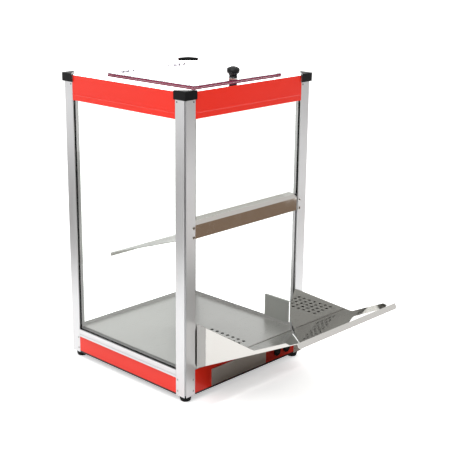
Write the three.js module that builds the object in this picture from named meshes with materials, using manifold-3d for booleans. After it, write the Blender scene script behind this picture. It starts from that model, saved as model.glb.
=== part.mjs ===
// Heated display case for the counter: a square aluminium-post cabinet with clear walls, a lift-up
// filling lid, a drop-front serving door, a perforated floor over a crumb drawer, and a heater below.
// Millimetres, +Z up, front towards -Y. The origin is under the middle of the whole object, door open.
import * as THREE from "three";
import { mergeVertices } from "three/addons/utils/BufferGeometryUtils.js";
import Module from "manifold-3d";

const wasm = await Module();
wasm.setup();

// ---------------------------------------------------------------- driving dimensions
const HALF = 200; // the posts' outer faces, from the cabinet's middle
const GAP = 0.4; // clearance between neighbouring pieces
const SHEET = 1.5; // folded sheet metal

const POST_FACE = 30;
const POST_LEG = 12.5;
const POST_TOP = 678.8;
const OUTER_LIP = 2.5; // metal in front of the glazing slot
const SLOT_WIDTH = 5.4;
const SLOT_DEPTH = 9;
const CORNER_REBATE = 2.6;
const CORNER_GROOVE = { half: 1.3, depth: 10 }; // a slot run in along the corner's diagonal
const INNER = HALF - POST_FACE; // half the clear width between two posts
const POST_INSIDE = HALF - POST_LEG;
const POST_PLAY = 0.6; // clearance of the floor, pan and baffle round the posts

const FOOT_HEIGHT = 14;
const FOOT_TOP_RADIUS = 14.5;
const FOOT_BOTTOM_RADIUS = 12;
const CAP_TOP = 698.5;
const CAP_PROUD = 3;
const CAP_SIZE = 35.5; // along each face; in plan a cap is a right-angled triangle

const BASE_PAN_BOTTOM = 14.4;
const PAN_SHEET = 1.4;
const PAN_FLOOR = BASE_PAN_BOTTOM + PAN_SHEET + 0.4;
const SKIRT_BOTTOM = 18.5;
const SKIRT_TOP = 55;
const FRONT_SKIRT_TOP = 73.4;
const RAIL_TOP = 74;
const GASKET_EDGE = 1.2; // gasket seen below the glazing
const HEADER_BOTTOM = 637.5;
const HEADER_BEAD = { z: 651, half: 1.5, proud: 0.9 };
const RAIL_GROOVE = { z: 61, half: 0.8 };
const HEADER_TOP = 695;

const GLASS_THICK = 3;
const GLASS_SET = OUTER_LIP + (SLOT_WIDTH - GLASS_THICK) / 2; // outer face of frame to that of glazing
const GASKET_SET = OUTER_LIP + 0.3;
const GASKET_THICK = SLOT_WIDTH - 0.6;
const GLASS_PLAY = 0.3; // between a clear sheet and the gasket round it

const ROOF_TOP = 695;
const LID_UNDER = ROOF_TOP + 0.4;
const LID_THICK = 3.2;
const LID = { x: 142, front: -166, back: 116, round: 6 };
const FILL = { x: 128, front: -152, back: 98, depth: 22 };
const KNOB = { x: 5, y: -141, top: 726 };
const LID_PIVOT = { y: 121, z: LID_UNDER + LID_THICK + 3.1 };
const LID_HINGE = { x: 82, half: 24, barrel: 2.6, bore: 1.35, reach: 19, leaf: 1.2 };

const BAR = { bottom: 377, top: 407.5, face: 197.6, shelfRise: 9, shelfBack: 171 };
const BAFFLE_BACK = { y: 60, z: 291 };

const FLOOR_TOP = 72.5;
const FLOOR_SHEET = 0.8;
const FLOOR_RIM_TOP = 79;
const HOLE = { radius: 4.4, pitchX: 16.5, pitchY: 17.5, columns: 5, rows: 7, firstY: -54 };
const CABLE_COVER = { x: 187.3, depth: 4.8, front: -167, back: -88, top: 134.8 };

const DOOR_PIVOT = { y: -200, z: 77 };
const DOOR_LENGTH = 322;
const DOOR_OPEN = 63.6; // degrees from shut to its open stop, the pose in which it is drawn
const DOOR_HALF = 167;
const DOOR_LIP = { deep: 11, chamfer: 3.5 }; // the flange folded square outwards at the free edge
const HINGE_RADIUS = 3;
const HINGE_PIN_RADIUS = 1.5;
const HINGE_LEAF = 1;
const DOOR_KNUCKLES = 5;
const HINGE_HALF = 150;

const DRAWER = { left: -118, right: 66, bottom: 20, top: 60.5, depth: 165 };
const SWITCH = { x: [108, 142], z: 37.5, flange: 11.2, barrel: 9.2, windowX: 5.6, windowZ: 7.2 };
const ROCKER_TILT = 10; // degrees either side of level
const INLET = { x: -90, z: 45, wide: 48, high: 24 };
const HEATER = { x: 110, front: 20, back: 150, z: 58, radius: 4 };
const LAMP = { y: 150, z: 668, radius: 8, half: 110 };

// The open door reaches out in front, so the cabinet stands behind the origin.
const doorAngle = THREE.MathUtils.degToRad(DOOR_OPEN);
const doorTipY = DOOR_PIVOT.y - DOOR_LENGTH * Math.sin(doorAngle) - DOOR_LIP.deep * Math.cos(doorAngle);
const CABINET_Y = -(doorTipY + HALF + CAP_PROUD) / 2;

// ---------------------------------------------------------------- finishes
const finish = (color, metalness, roughness, extra = {}) =>
  new THREE.MeshStandardMaterial({ color, metalness, roughness, ...extra });

const FINISHES = {
  aluminium: finish(0xc9c7c3, 0.9, 0.38),
  stainless: finish(0xb9b6b1, 1, 0.28),
  mirrorSteel: finish(0xd9d8d6, 1, 0.12),
  redEnamel: finish(0xd8200f, 0, 0.35),
  blackPlastic: finish(0x101011, 0, 0.45),
  rubber: finish(0x0c0c0d, 0, 0.8),
  glass: finish(0xf4f8f8, 0, 0.03, { transparent: true, opacity: 0.15 }),
  clearPlastic: finish(0xf6f2f6, 0, 0.05, { transparent: true, opacity: 0.25 }),
  lamp: finish(0xfff4dc, 0, 0.1),
  heaterSheath: finish(0x5b5a58, 0.8, 0.5),
};

// ---------------------------------------------------------------- shape helpers
const model = new THREE.Group();
const cabinet = new THREE.Group();
cabinet.position.y = CABINET_Y;
model.add(cabinet);

function add(name, geometry, material, parent = cabinet) {
  const mesh = new THREE.Mesh(geometry, FINISHES[material]);
  mesh.name = name;
  parent.add(mesh);
  return mesh;
}

// A box from its lowest and highest corners.
function block([x0, y0, z0], [x1, y1, z1]) {
  const box = new THREE.BoxGeometry(x1 - x0, y1 - y0, z1 - z0);
  return box.translate((x0 + x1) / 2, (y0 + y1) / 2, (z0 + z1) / 2);
}

function outline(points) {
  return new THREE.Shape(points.map(([a, b]) => new THREE.Vector2(a, b)));
}

const extrude = (shape, depth) =>
  new THREE.ExtrudeGeometry(shape, { depth, bevelEnabled: false, curveSegments: 12 });

// An outline in Y and Z, run along X.
function alongX(shape, x0, x1) {
  const axes = new THREE.Matrix4().makeBasis(
    new THREE.Vector3(0, 1, 0), new THREE.Vector3(0, 0, 1), new THREE.Vector3(1, 0, 0));
  return extrude(shape, x1 - x0).applyMatrix4(axes).translate(x0, 0, 0);
}

// An outline in X and Y, run along Z.
const alongZ = (shape, z0, z1) => extrude(shape, z1 - z0).translate(0, 0, z0);

// A profile of [radius, height] points, turned about Z.
function turned(profile, segments = 32) {
  const points = profile.map(([r, z]) => new THREE.Vector2(r, z));
  return new THREE.LatheGeometry(points, segments).rotateX(Math.PI / 2);
}

function solidOf(geometry) {
  const bare = geometry.clone();
  bare.deleteAttribute("normal");
  bare.deleteAttribute("uv");
  const merged = mergeVertices(bare, 1e-4);
  return new wasm.Manifold(new wasm.Mesh({
    numProp: 3,
    vertProperties: new Float32Array(merged.attributes.position.array),
    triVerts: new Uint32Array(merged.index.array),
  }));
}

function geometryOf(solid) {
  const mesh = solid.getMesh();
  const geometry = new THREE.BufferGeometry();
  geometry.setAttribute("position", new THREE.BufferAttribute(new Float32Array(mesh.vertProperties), 3));
  geometry.setIndex(new THREE.BufferAttribute(new Uint32Array(mesh.triVerts), 1));
  geometry.computeVertexNormals();
  return geometry;
}

const join = (...pieces) => geometryOf(pieces.map(solidOf).reduce((all, next) => all.add(next)));

const cut = (piece, ...tools) =>
  geometryOf(tools.map(solidOf).reduce((left, tool) => left.subtract(tool), solidOf(piece)));

// The four sides of the square cabinet: a piece drawn for the front, turned to its own side.
const SIDES = { front: 0, right: 1, rear: 2, left: 3 };
const turnTo = (geometry, side) => geometry.rotateZ((SIDES[side] * Math.PI) / 2);

// ---------------------------------------------------------------- frame
function postGeometry() {
  const slotEnd = OUTER_LIP + SLOT_WIDTH;
  const slotFloor = POST_FACE - SLOT_DEPTH;
  const leg = [
    [CORNER_REBATE, 0], [POST_FACE, 0], [POST_FACE, OUTER_LIP], [slotFloor, OUTER_LIP],
    [slotFloor, slotEnd], [POST_FACE, slotEnd], [POST_FACE, POST_LEG],
  ];
  const otherLeg = leg.map(([along, in_]) => [in_, along]).reverse();
  const { half, depth } = CORNER_GROOVE;
  const side = Math.SQRT2 * half;
  const groove = [[CORNER_REBATE, CORNER_REBATE + side], [depth - side, depth], [depth, depth - side],
    [CORNER_REBATE + side, CORNER_REBATE]];
  const section = [...groove, ...leg, [POST_LEG, POST_LEG], ...otherLeg];
  return alongZ(outline(section), FOOT_HEIGHT, POST_TOP).translate(-HALF, -HALF, 0);
}

function addPosts() {
  const corners = ["front_left", "front_right", "rear_right", "rear_left"];
  const footCentre = HALF - FOOT_TOP_RADIUS - 2.2;
  const capEdge = HALF + CAP_PROUD;
  const capInner = capEdge - CAP_SIZE;
  const capPlan = outline([[-capEdge, -capEdge], [-capInner, -capEdge], [-capEdge, -capInner]]);
  corners.forEach((corner, turn) => {
    const angle = (turn * Math.PI) / 2;
    add(`post_${corner}`, postGeometry().rotateZ(angle), "aluminium");

    add(`post_cap_${corner}`, alongZ(capPlan, POST_TOP + GAP, CAP_TOP).rotateZ(angle), "blackPlastic");

    const foot = turned([
      [0, 0], [FOOT_BOTTOM_RADIUS - 1, 0], [FOOT_BOTTOM_RADIUS, 1.2],
      [FOOT_TOP_RADIUS, FOOT_HEIGHT - GAP], [0, FOOT_HEIGHT - GAP],
    ], 28);
    foot.translate(-footCentre, -footCentre, 0);
    add(`foot_${corner}`, foot.rotateZ(angle), "rubber");
  });
}

function addHeaders() {
  for (const side of ["left", "rear", "right", "front"]) {
    const y = -HALF;
    const bead = HEADER_BEAD;
    const section = outline([
      [y, HEADER_BOTTOM], [y + SHEET, HEADER_BOTTOM], [y + SHEET, HEADER_TOP], [y, HEADER_TOP],
      [y, bead.z + bead.half], [y - bead.proud, bead.z], [y, bead.z - bead.half],
    ]);
    const capRoom = [-1, 1].map((sign) => {
      const x = [sign * (HALF + CAP_PROUD - CAP_SIZE - GAP), sign * HALF].sort((a, b) => a - b);
      return block([x[0], y - 1, POST_TOP], [x[1], y + 4, HEADER_TOP + 1]);
    });
    const band = cut(alongX(section, -INNER + GAP, INNER - GAP), ...capRoom);
    add(`header_${side}`, turnTo(band, side), "redEnamel");
  }
}

function addRails() {
  for (const side of ["left", "rear", "right"]) {
    const y = -HALF;
    const groove = RAIL_GROOVE;
    const section = outline([
      [y, SKIRT_TOP + GAP], [y + 2, SKIRT_TOP + GAP], [y + 2, RAIL_TOP - 2],
      [y + POST_LEG - 0.5, RAIL_TOP - 2], [y + POST_LEG - 0.5, RAIL_TOP], [y, RAIL_TOP],
      [y, groove.z + groove.half], [y + groove.half, groove.z], [y, groove.z - groove.half],
    ]);
    add(`lower_rail_${side}`, turnTo(alongX(section, -INNER + GAP, INNER - GAP), side), "aluminium");
  }
}

// ---------------------------------------------------------------- glazing
// A clear sheet held round its edge by a U-section gasket, drawn for the front side. Where it stands
// on the bar's shelf, the gasket leaves its lower edge bare.
function addGlazing(side, edgeBottom, lowerLip) {
  const edgeTop = HEADER_BOTTOM + 14;
  const halfGasket = INNER + SLOT_DEPTH - GAP;
  const sheetHalf = halfGasket - 1.3;
  const [sheetBottom, sheetTop] = [edgeBottom + 0.6, edgeTop - 1.5];
  const sheetFace = -HALF + GLASS_SET;
  const sheetBack = sheetFace + GLASS_THICK;
  const sheet = block([-sheetHalf, sheetFace, sheetBottom], [sheetHalf, sheetBack, sheetTop]);
  add(`clear_panel_${side}`, turnTo(sheet, side), "glass");

  const gasketFace = -HALF + GASKET_SET;
  const ring = block([-halfGasket, gasketFace, edgeBottom],
    [halfGasket, gasketFace + GASKET_THICK, edgeTop]);
  const sightHalf = INNER - 0.6;
  const sight = block([-sightHalf, -HALF, edgeBottom + lowerLip],
    [sightHalf, -HALF + POST_LEG, HEADER_BOTTOM + 9]);
  const rebate = block(
    [-sheetHalf - GLASS_PLAY, sheetFace - GLASS_PLAY, sheetBottom - GLASS_PLAY],
    [sheetHalf + GLASS_PLAY, sheetBack + GLASS_PLAY, sheetTop + GLASS_PLAY]);
  add(`glazing_gasket_${side}`, turnTo(cut(ring, sight, rebate), side), "rubber");
}

function addAllGlazing() {
  for (const side of ["left", "rear", "right"]) addGlazing(side, RAIL_TOP + GAP, GASKET_EDGE);
  addGlazing("front", BAR.top + BAR.shelfRise + GAP, -1);
}

// ---------------------------------------------------------------- roof, lid and lamp
function addRoof() {
  const edge = HALF - SHEET - GAP;
  const capLine = 2 * (HALF + CAP_PROUD) - CAP_SIZE;
  const corner = capLine - 2 * GAP - edge;
  const sheet = outline([
    [-corner, -edge], [corner, -edge], [edge, -corner], [edge, corner],
    [corner, edge], [-corner, edge], [-edge, corner], [-edge, -corner],
  ]);
  const collar = block([-FILL.x - SHEET, FILL.front - SHEET, ROOF_TOP - FILL.depth],
    [FILL.x + SHEET, FILL.back + SHEET, ROOF_TOP]);
  const mouth = block([-FILL.x, FILL.front, ROOF_TOP - FILL.depth - 1],
    [FILL.x, FILL.back, ROOF_TOP + 1]);
  const roof = join(alongZ(sheet, ROOF_TOP - SHEET, ROOF_TOP), collar);
  add("roof_panel", cut(roof, mouth), "mirrorSteel");
}

// A clear moulded leaf hinge, drawn with its pin on the origin: the fixed leaf behind, the moving one
// in front.
function addLidHinge(name, x) {
  const { half, barrel: radius, bore, reach, leaf } = LID_HINGE;
  const inner = half / 3;
  const barrel = (x0, x1, r) => alongX(new THREE.Shape().absarc(0, 0, r, 0, 2 * Math.PI), x0, x1);
  const place = (geometry) => geometry.translate(x, LID_PIVOT.y, LID_PIVOT.z);
  const leafUnder = LID_UNDER + LID_THICK + GAP - LID_PIVOT.z;
  const leafTop = leafUnder + leaf;
  const tabHalf = inner - 0.3;
  const movingLeaf = block([-half, -reach, leafUnder], [half, -radius - GAP, leafTop]);
  const movingTab = block([-tabHalf, -radius - 1, leafUnder], [tabHalf, 0, leafTop]);
  const moving = cut(join(movingLeaf, movingTab, barrel(-tabHalf, tabHalf, radius)),
    barrel(-inner - 1, inner + 1, bore));
  add(`${name}_moving_leaf`, place(moving), "clearPlastic");

  const footUnder = ROOF_TOP + GAP - LID_PIVOT.z;
  const fixedFoot = block([-half, 1, footUnder], [half, reach, footUnder + leaf]);
  const upright = (x0, x1) => join(barrel(x0, x1, radius), block([x0, 1, footUnder], [x1, radius, 0]));
  const pin = barrel(-half - 0.8, half + 0.8, bore - 0.3);
  const fixed = join(fixedFoot, upright(-half, -inner), upright(inner, half), pin);
  add(`${name}_fixed_leaf`, place(fixed), "clearPlastic");
}

function addLid() {
  const shape = new THREE.Shape();
  const { x, front, back, round } = LID;
  shape.absarc(-x + round, front + round, round, Math.PI, 1.5 * Math.PI);
  shape.absarc(x - round, front + round, round, 1.5 * Math.PI, 2 * Math.PI);
  shape.lineTo(x, back);
  shape.lineTo(-x, back);
  const lidTop = LID_UNDER + LID_THICK;
  add("lid_panel", alongZ(shape, LID_UNDER, lidTop), "clearPlastic");

  const base = lidTop + GAP;
  const knob = turned([
    [0, base], [9, base], [8.6, base + 7], [11, base + 9], [13.6, base + 12],
    [14.2, base + 15], [13.6, base + 18], [11, KNOB.top - 3.2], [6.5, KNOB.top - 0.9], [0, KNOB.top],
  ]);
  add("lid_knob", knob.translate(KNOB.x, KNOB.y, 0), "blackPlastic");
  addLidHinge("lid_hinge_left", -LID_HINGE.x);
  addLidHinge("lid_hinge_right", LID_HINGE.x);
}

function addLamp() {
  const { y, z, radius, half } = LAMP;
  const round = new THREE.CylinderGeometry(radius, radius, 2 * half, 20);
  add("lamp_tube", round.rotateZ(Math.PI / 2).translate(0, y, z), "lamp");
  const bracketTop = ROOF_TOP - SHEET - GAP;
  const [bracketHalf, halfDeep] = [half + 16, 11];
  const strap = block([-bracketHalf, y - halfDeep, bracketTop - 2],
    [bracketHalf, y + halfDeep, bracketTop]);
  const sockets = [-1, 1].map((sign) => {
    const x = [sign * (half + GAP), sign * bracketHalf].sort((a, b) => a - b);
    return block([x[0], y - halfDeep, z - 12], [x[1], y + halfDeep, bracketTop]);
  });
  add("lamp_bracket", join(strap, ...sockets), "blackPlastic");
}

// ---------------------------------------------------------------- front bar, baffle and floor
function addFrontBar() {
  const y = -BAR.face;
  const shelfTop = BAR.top + BAR.shelfRise;
  const section = outline([
    [y, BAR.bottom], [y + SHEET, BAR.bottom], [y + SHEET, BAR.top - 0.6],
    [-BAR.shelfBack, shelfTop - SHEET], [-BAR.shelfBack, shelfTop], [y + 4.5, shelfTop],
    [y, BAR.top],
  ]);
  add("middle_bar", alongX(section, -INNER + GAP, INNER - GAP), "stainless");
}

// A sloping plate behind the bar that steers the food to the rear of the floor.
function addBaffle() {
  const frontY = -BAR.face + SHEET + GAP;
  const frontZ = BAR.bottom + 3;
  const lip = 7;
  const section = outline([
    [frontY, frontZ + 14], [frontY, frontZ], [BAFFLE_BACK.y, BAFFLE_BACK.z],
    [BAFFLE_BACK.y + 0.5, BAFFLE_BACK.z - lip], [BAFFLE_BACK.y + 0.5 + SHEET, BAFFLE_BACK.z - lip],
    [BAFFLE_BACK.y + SHEET, BAFFLE_BACK.z + SHEET], [frontY + SHEET, frontZ + SHEET],
    [frontY + SHEET, frontZ + 14],
  ]);
  const wide = alongX(section, -POST_INSIDE + 1, POST_INSIDE - 1);
  const postRoom = [-1, 1].map((sign) => {
    const x = [sign * (INNER - POST_PLAY), sign * HALF].sort((a, b) => a - b);
    return block([x[0], -HALF, 200], [x[1], -POST_INSIDE + POST_PLAY, 500]);
  });
  add("food_baffle", cut(wide, ...postRoom), "stainless");
}

function addFloor() {
  const edge = POST_INSIDE - POST_PLAY;
  const tongue = INNER - POST_PLAY;
  const frontEdge = -HALF + 4.5;
  const pan = outline([
    [-tongue, frontEdge], [tongue, frontEdge], [tongue, -edge], [edge, -edge],
    [edge, edge], [-edge, edge], [-edge, -edge], [-tongue, -edge],
  ]);
  const plate = alongZ(pan, FLOOR_TOP - FLOOR_SHEET, FLOOR_TOP);
  const rimFoot = FLOOR_TOP - FLOOR_SHEET / 2;
  const rims = [
    block([-edge, -edge, rimFoot], [-edge + FLOOR_SHEET, edge, FLOOR_RIM_TOP]),
    block([edge - FLOOR_SHEET, -edge, rimFoot], [edge, edge, FLOOR_RIM_TOP]),
    block([-edge, edge - FLOOR_SHEET, rimFoot], [edge, edge, FLOOR_RIM_TOP]),
  ];
  const drill = new THREE.CylinderGeometry(HOLE.radius, HOLE.radius, 6, 12).rotateX(Math.PI / 2);
  const holes = [];
  for (let column = 0; column < HOLE.columns; column += 1) {
    for (let row = 0; row < HOLE.rows; row += 1) {
      const x = (column - (HOLE.columns - 1) / 2) * HOLE.pitchX;
      const y = HOLE.firstY - row * HOLE.pitchY;
      holes.push(drill.clone().translate(x, y, FLOOR_TOP));
    }
  }
  add("perforated_floor", cut(join(plate, ...rims), ...holes), "stainless");
}

// A folded channel against the right wall, over the wires that climb from the switches.
function addCableCover() {
  const { x, depth, front, back, top } = CABLE_COVER;
  const bottom = RAIL_TOP + GAP;
  const outer = block([x, front, bottom], [x + depth, back, top]);
  const hollow = block([x + FLOOR_SHEET, front - 1, bottom - 1],
    [x + depth + 1, back - FLOOR_SHEET, top - FLOOR_SHEET]);
  add("cable_cover", cut(outer, hollow), "stainless");
}

// ---------------------------------------------------------------- serving door
// The door is drawn shut, upright on its hinge pin, then tipped out to its open stop.
function addDoor() {
  const hanger = new THREE.Group();
  hanger.position.set(0, DOOR_PIVOT.y, DOOR_PIVOT.z);
  hanger.rotation.x = doorAngle;
  cabinet.add(hanger);

  const sheetStart = HINGE_RADIUS + 1.2;
  const sheet = block([-DOOR_HALF, 0, sheetStart], [DOOR_HALF, SHEET, DOOR_LENGTH]);
  const { deep, chamfer } = DOOR_LIP;
  const lipPlan = outline([
    [-DOOR_HALF, SHEET], [-DOOR_HALF, chamfer - deep], [chamfer - DOOR_HALF, -deep],
    [DOOR_HALF - chamfer, -deep], [DOOR_HALF, chamfer - deep], [DOOR_HALF, SHEET],
  ]);
  const lip = alongZ(lipPlan, DOOR_LENGTH - SHEET, DOOR_LENGTH);
  const cheekSection = outline([
    [0, sheetStart], [10, 2], [34, 4.5], [62, 18.6], [93.2, 48.5], [90, 56],
    [9.8, 192], [8, 197], [7.6, 290], [1.2, 299], [0, 299],
  ]);
  const cheeks = [-1, 1].map((sign) => {
    const x = [sign * (DOOR_HALF - SHEET), sign * DOOR_HALF].sort((a, b) => a - b);
    return alongX(cheekSection, x[0], x[1]);
  });
  add("serving_door", join(sheet, lip, ...cheeks), "mirrorSteel", hanger);
  addDoorHinge(hanger);
}

// A continuous hinge: knuckles 0, 2 and 4 belong to the base, 1 and 3 to the door.
function addDoorHinge(hanger) {
  const pitch = (2 * HINGE_HALF) / DOOR_KNUCKLES;
  const round = (radius) => new THREE.Shape().absarc(0, 0, radius, 0, 2 * Math.PI);
  const spans = (owner) => {
    const found = [];
    for (let i = owner; i < DOOR_KNUCKLES; i += 2) {
      const start = -HINGE_HALF + i * pitch;
      found.push([start + 0.3, start + pitch - 0.3]);
    }
    return found;
  };
  const knuckles = (owner) => spans(owner).map(([x0, x1]) => alongX(round(HINGE_RADIUS), x0, x1));
  const webs = (owner, [y0, z0], [y1, z1]) =>
    spans(owner).map(([x0, x1]) => block([x0, y0, z0], [x1, y1, z1]));
  const bore = alongX(round(HINGE_PIN_RADIUS + 0.3), -HINGE_HALF - 5, HINGE_HALF + 5);

  const doorFace = SHEET + GAP;
  const doorLeaf = block([-HINGE_HALF, doorFace, 5.2], [HINGE_HALF, doorFace + HINGE_LEAF, 16]);
  const doorWebs = webs(1, [doorFace, 0.5], [doorFace + HINGE_LEAF, 6]);
  const moving = cut(join(doorLeaf, ...doorWebs, ...knuckles(1)), bore);
  add("door_hinge_moving_leaf", moving, "stainless", hanger);

  const atPin = (geometry) => geometry.translate(0, DOOR_PIVOT.y, DOOR_PIVOT.z);
  const leafFace = -HALF + SHEET + GAP;
  const leafBack = leafFace + HINGE_LEAF;
  const leafTop = FRONT_SKIRT_TOP - 1.5;
  const baseLeaf = block([-HINGE_HALF, leafFace, DRAWER.top + 2], [HINGE_HALF, leafBack, leafTop]);
  const baseWebs = webs(0, [leafFace, leafTop - 1], [leafBack, DOOR_PIVOT.z - 0.5]);
  const fixed = cut(join(baseLeaf, ...baseWebs, ...knuckles(0).map(atPin)), atPin(bore.clone()));
  add("door_hinge_fixed_leaf", fixed, "stainless");

  const pin = alongX(round(HINGE_PIN_RADIUS), -HINGE_HALF - 1, HINGE_HALF + 1);
  add("door_hinge_pin", atPin(pin), "stainless");
}

// ---------------------------------------------------------------- base
function addBase() {
  const edge = POST_INSIDE - POST_PLAY;
  const lip = HALF;
  const side = INNER - POST_PLAY;
  const pan = outline([
    [-side, -lip], [side, -lip], [side, -edge], [edge, -edge],
    [edge, -side], [lip, -side], [lip, side], [edge, side],
    [edge, edge], [side, edge], [side, lip], [-side, lip],
    [-side, edge], [-edge, edge], [-edge, side], [-lip, side],
    [-lip, -side], [-edge, -side], [-edge, -edge], [-side, -edge],
  ]);
  const [inFloor, inTop] = [BASE_PAN_BOTTOM + PAN_SHEET, SKIRT_BOTTOM + 1];
  const inWide = lip - PAN_SHEET;
  const inNarrow = side - PAN_SHEET;
  add("base_pan", cut(alongZ(pan, BASE_PAN_BOTTOM, SKIRT_BOTTOM - GAP),
    block([-inNarrow, -inWide, inFloor], [inNarrow, inWide, inTop]),
    block([-inWide, -inNarrow, inFloor], [inWide, inNarrow, inTop])), "blackPlastic");

  const skirt = (top) => block([-INNER + GAP, -HALF, SKIRT_BOTTOM], [INNER - GAP, -HALF + SHEET, top]);
  add("skirt_left", turnTo(skirt(SKIRT_TOP), "left"), "redEnamel");
  add("skirt_right", turnTo(skirt(SKIRT_TOP), "right"), "redEnamel");

  const inletHole = block([INLET.x - INLET.wide / 2 + 4, HALF - 3, INLET.z - INLET.high / 2 + 2],
    [INLET.x + INLET.wide / 2 - 4, HALF + 3, INLET.z + INLET.high / 2 - 2]);
  add("skirt_rear", cut(turnTo(skirt(SKIRT_TOP), "rear"), inletHole), "redEnamel");

  const drawerHole = block([DRAWER.left + 3, -HALF - 2, DRAWER.bottom + 1.5],
    [DRAWER.right - 3, -HALF + 4, DRAWER.top - 2.5]);
  const switchHoles = SWITCH.x.map((x) => standing(SWITCH.barrel + GAP, 8, x, -HALF, SWITCH.z));
  add("skirt_front", cut(skirt(FRONT_SKIRT_TOP), drawerHole, ...switchHoles), "redEnamel");
}

// A short round bar lying along Y, centred on the point given.
function standing(radius, length, x, y, z, segments = 28) {
  return new THREE.CylinderGeometry(radius, radius, length, segments).translate(x, y, z);
}

function addDrawer() {
  const y = -HALF;
  const plate = block([DRAWER.left, y - GAP - SHEET, DRAWER.bottom],
    [DRAWER.right, y - GAP, DRAWER.top]);
  const trayLeft = DRAWER.left + 4;
  const trayRight = DRAWER.right - 4;
  const trayTop = DRAWER.top - 4;
  const trayBottom = DRAWER.bottom + 2.5;
  const trayBack = y + DRAWER.depth;
  const wall = 1.2;
  const outer = block([trayLeft, y - 0.6, trayBottom], [trayRight, trayBack, trayTop]);
  const hollow = block([trayLeft + wall, y + wall, trayBottom + wall],
    [trayRight - wall, trayBack - wall, trayTop + 1]);
  add("crumb_drawer", join(plate, cut(outer, hollow)), "stainless");

  const side = 2;
  const guideTop = trayBottom + 18;
  const guide = block([trayLeft - GAP - side, y + 3, PAN_FLOOR],
    [trayRight + GAP + side, trayBack + 8, guideTop]);
  const channel = block([trayLeft - GAP, y, trayBottom - GAP],
    [trayRight + GAP, trayBack + GAP, guideTop + 1]);
  add("drawer_guide", cut(guide, channel), "stainless");
}

// A round rocker switch: a flanged housing with a window, and the rocker tilting inside it.
function addSwitches() {
  const { z, flange, barrel, windowX, windowZ } = SWITCH;
  SWITCH.x.forEach((x, i) => {
    const name = ["heat", "light"][i];
    const body = join(standing(flange, 2.2, x, -HALF - 1.5, z), standing(barrel, 20, x, -HALF + 8.6, z));
    const window = block([x - windowX, -HALF - 4, z - windowZ], [x + windowX, -HALF + 10, z + windowZ]);
    add(`${name}_switch_housing`, cut(body, window), "blackPlastic");

    const holder = new THREE.Group();
    holder.position.set(x, -HALF + 1, z);
    holder.rotation.x = THREE.MathUtils.degToRad(-ROCKER_TILT);
    cabinet.add(holder);
    const paddle = outline([
      [-4.2, -5.9], [-3.4, 0], [-4.2, 5.9], [1.2, 5.9], [3.4, 2], [3.4, -2], [1.2, -5.9],
    ]);
    const paddleHalf = windowX - 0.5;
    add(`${name}_switch_rocker`, alongX(paddle, -paddleHalf, paddleHalf), "blackPlastic", holder);
  });
}

// A rod element bent back on itself, held by a stand with an eye round each leg.
function addHeater() {
  const { x, front, back, z, radius } = HEATER;
  const bend = (back - front) / 2;
  const at = (px, py) => new THREE.Vector3(px, py, z);
  const path = new THREE.CurvePath();
  path.add(new THREE.LineCurve3(at(-x, front), at(x - bend, front)));
  path.add(new THREE.QuadraticBezierCurve3(at(x - bend, front), at(x, front), at(x, front + bend)));
  path.add(new THREE.QuadraticBezierCurve3(at(x, front + bend), at(x, back), at(x - bend, back)));
  path.add(new THREE.LineCurve3(at(x - bend, back), at(-x, back)));
  const section = new THREE.Shape().absarc(0, 0, radius, 0, 2 * Math.PI);
  const rod = new THREE.ExtrudeGeometry(section,
    { steps: 40, extrudePath: path, bevelEnabled: false, curveSegments: 6 });
  add("heating_element", rod, "heaterSheath");

  const standX = -51;
  const stand = block([standX - 1, front - 9, PAN_FLOOR], [standX + 1, back + 9, z + 9]);
  const eye = new THREE.CylinderGeometry(radius + 0.5, radius + 0.5, 6, 20).rotateZ(Math.PI / 2);
  const eyes = [front, back].map((y) => eye.clone().translate(standX, y, z));
  add("heater_stand", cut(stand, ...eyes), "stainless");
}

// The thermal cut-out: a round can on a small foot beside the element.
function addThermostat() {
  const can = turned([[0, 0], [9, 0], [9, 9], [6, 11], [6, 19], [0, 19]], 24);
  const foot = block([-16, -9, 0], [16, 9, 2.5]);
  const cutOut = join(can.translate(0, 0, 2), foot);
  add("thermostat", cutOut.translate(20, 85, PAN_FLOOR), "blackPlastic");
}

// The power inlet: a flanged body through the rear skirt, with a recess round three blades.
function addInlet() {
  const { x, z, wide, high } = INLET;
  const around = (halfX, halfZ, y0, y1) => block([x - halfX, y0, z - halfZ], [x + halfX, y1, z + halfZ]);
  const flange = around(wide / 2, high / 2, HALF + GAP, HALF + 2.9);
  const body = around(wide / 2 - 5, high / 2 - 3, HALF - 22, HALF + 1);
  const socket = around(12.5, 6.5, HALF - 16, HALF + 5);
  const blades = [-7, 0, 7].map((offset) => around(1, 2, HALF - 17, HALF - 4).translate(offset, 0, 0));
  add("power_inlet", join(cut(join(flange, body), socket), ...blades), "blackPlastic");
}

addPosts();
addHeaders();
addRails();
addAllGlazing();
addRoof();
addLid();
addLamp();
addFrontBar();
addBaffle();
addFloor();
addCableCover();
addDoor();
addBase();
addDrawer();
addSwitches();
addHeater();
addThermostat();
addInlet();

export default model;
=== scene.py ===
# %% [markdown]
# # A heated display case for a counter
# The object is a square cabinet of aluminium posts and clear walls with a drop-front serving door. Its
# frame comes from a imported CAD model, which is loaded first and never moved. This file gives that frame
# its real surfaces, and adds the small things that a flat CAD solid leaves out: rolled edges, screws,
# a turned knob and moulded feet.

# %% Load the frame
import math

import bpy
from mathutils import Matrix, Vector


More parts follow.
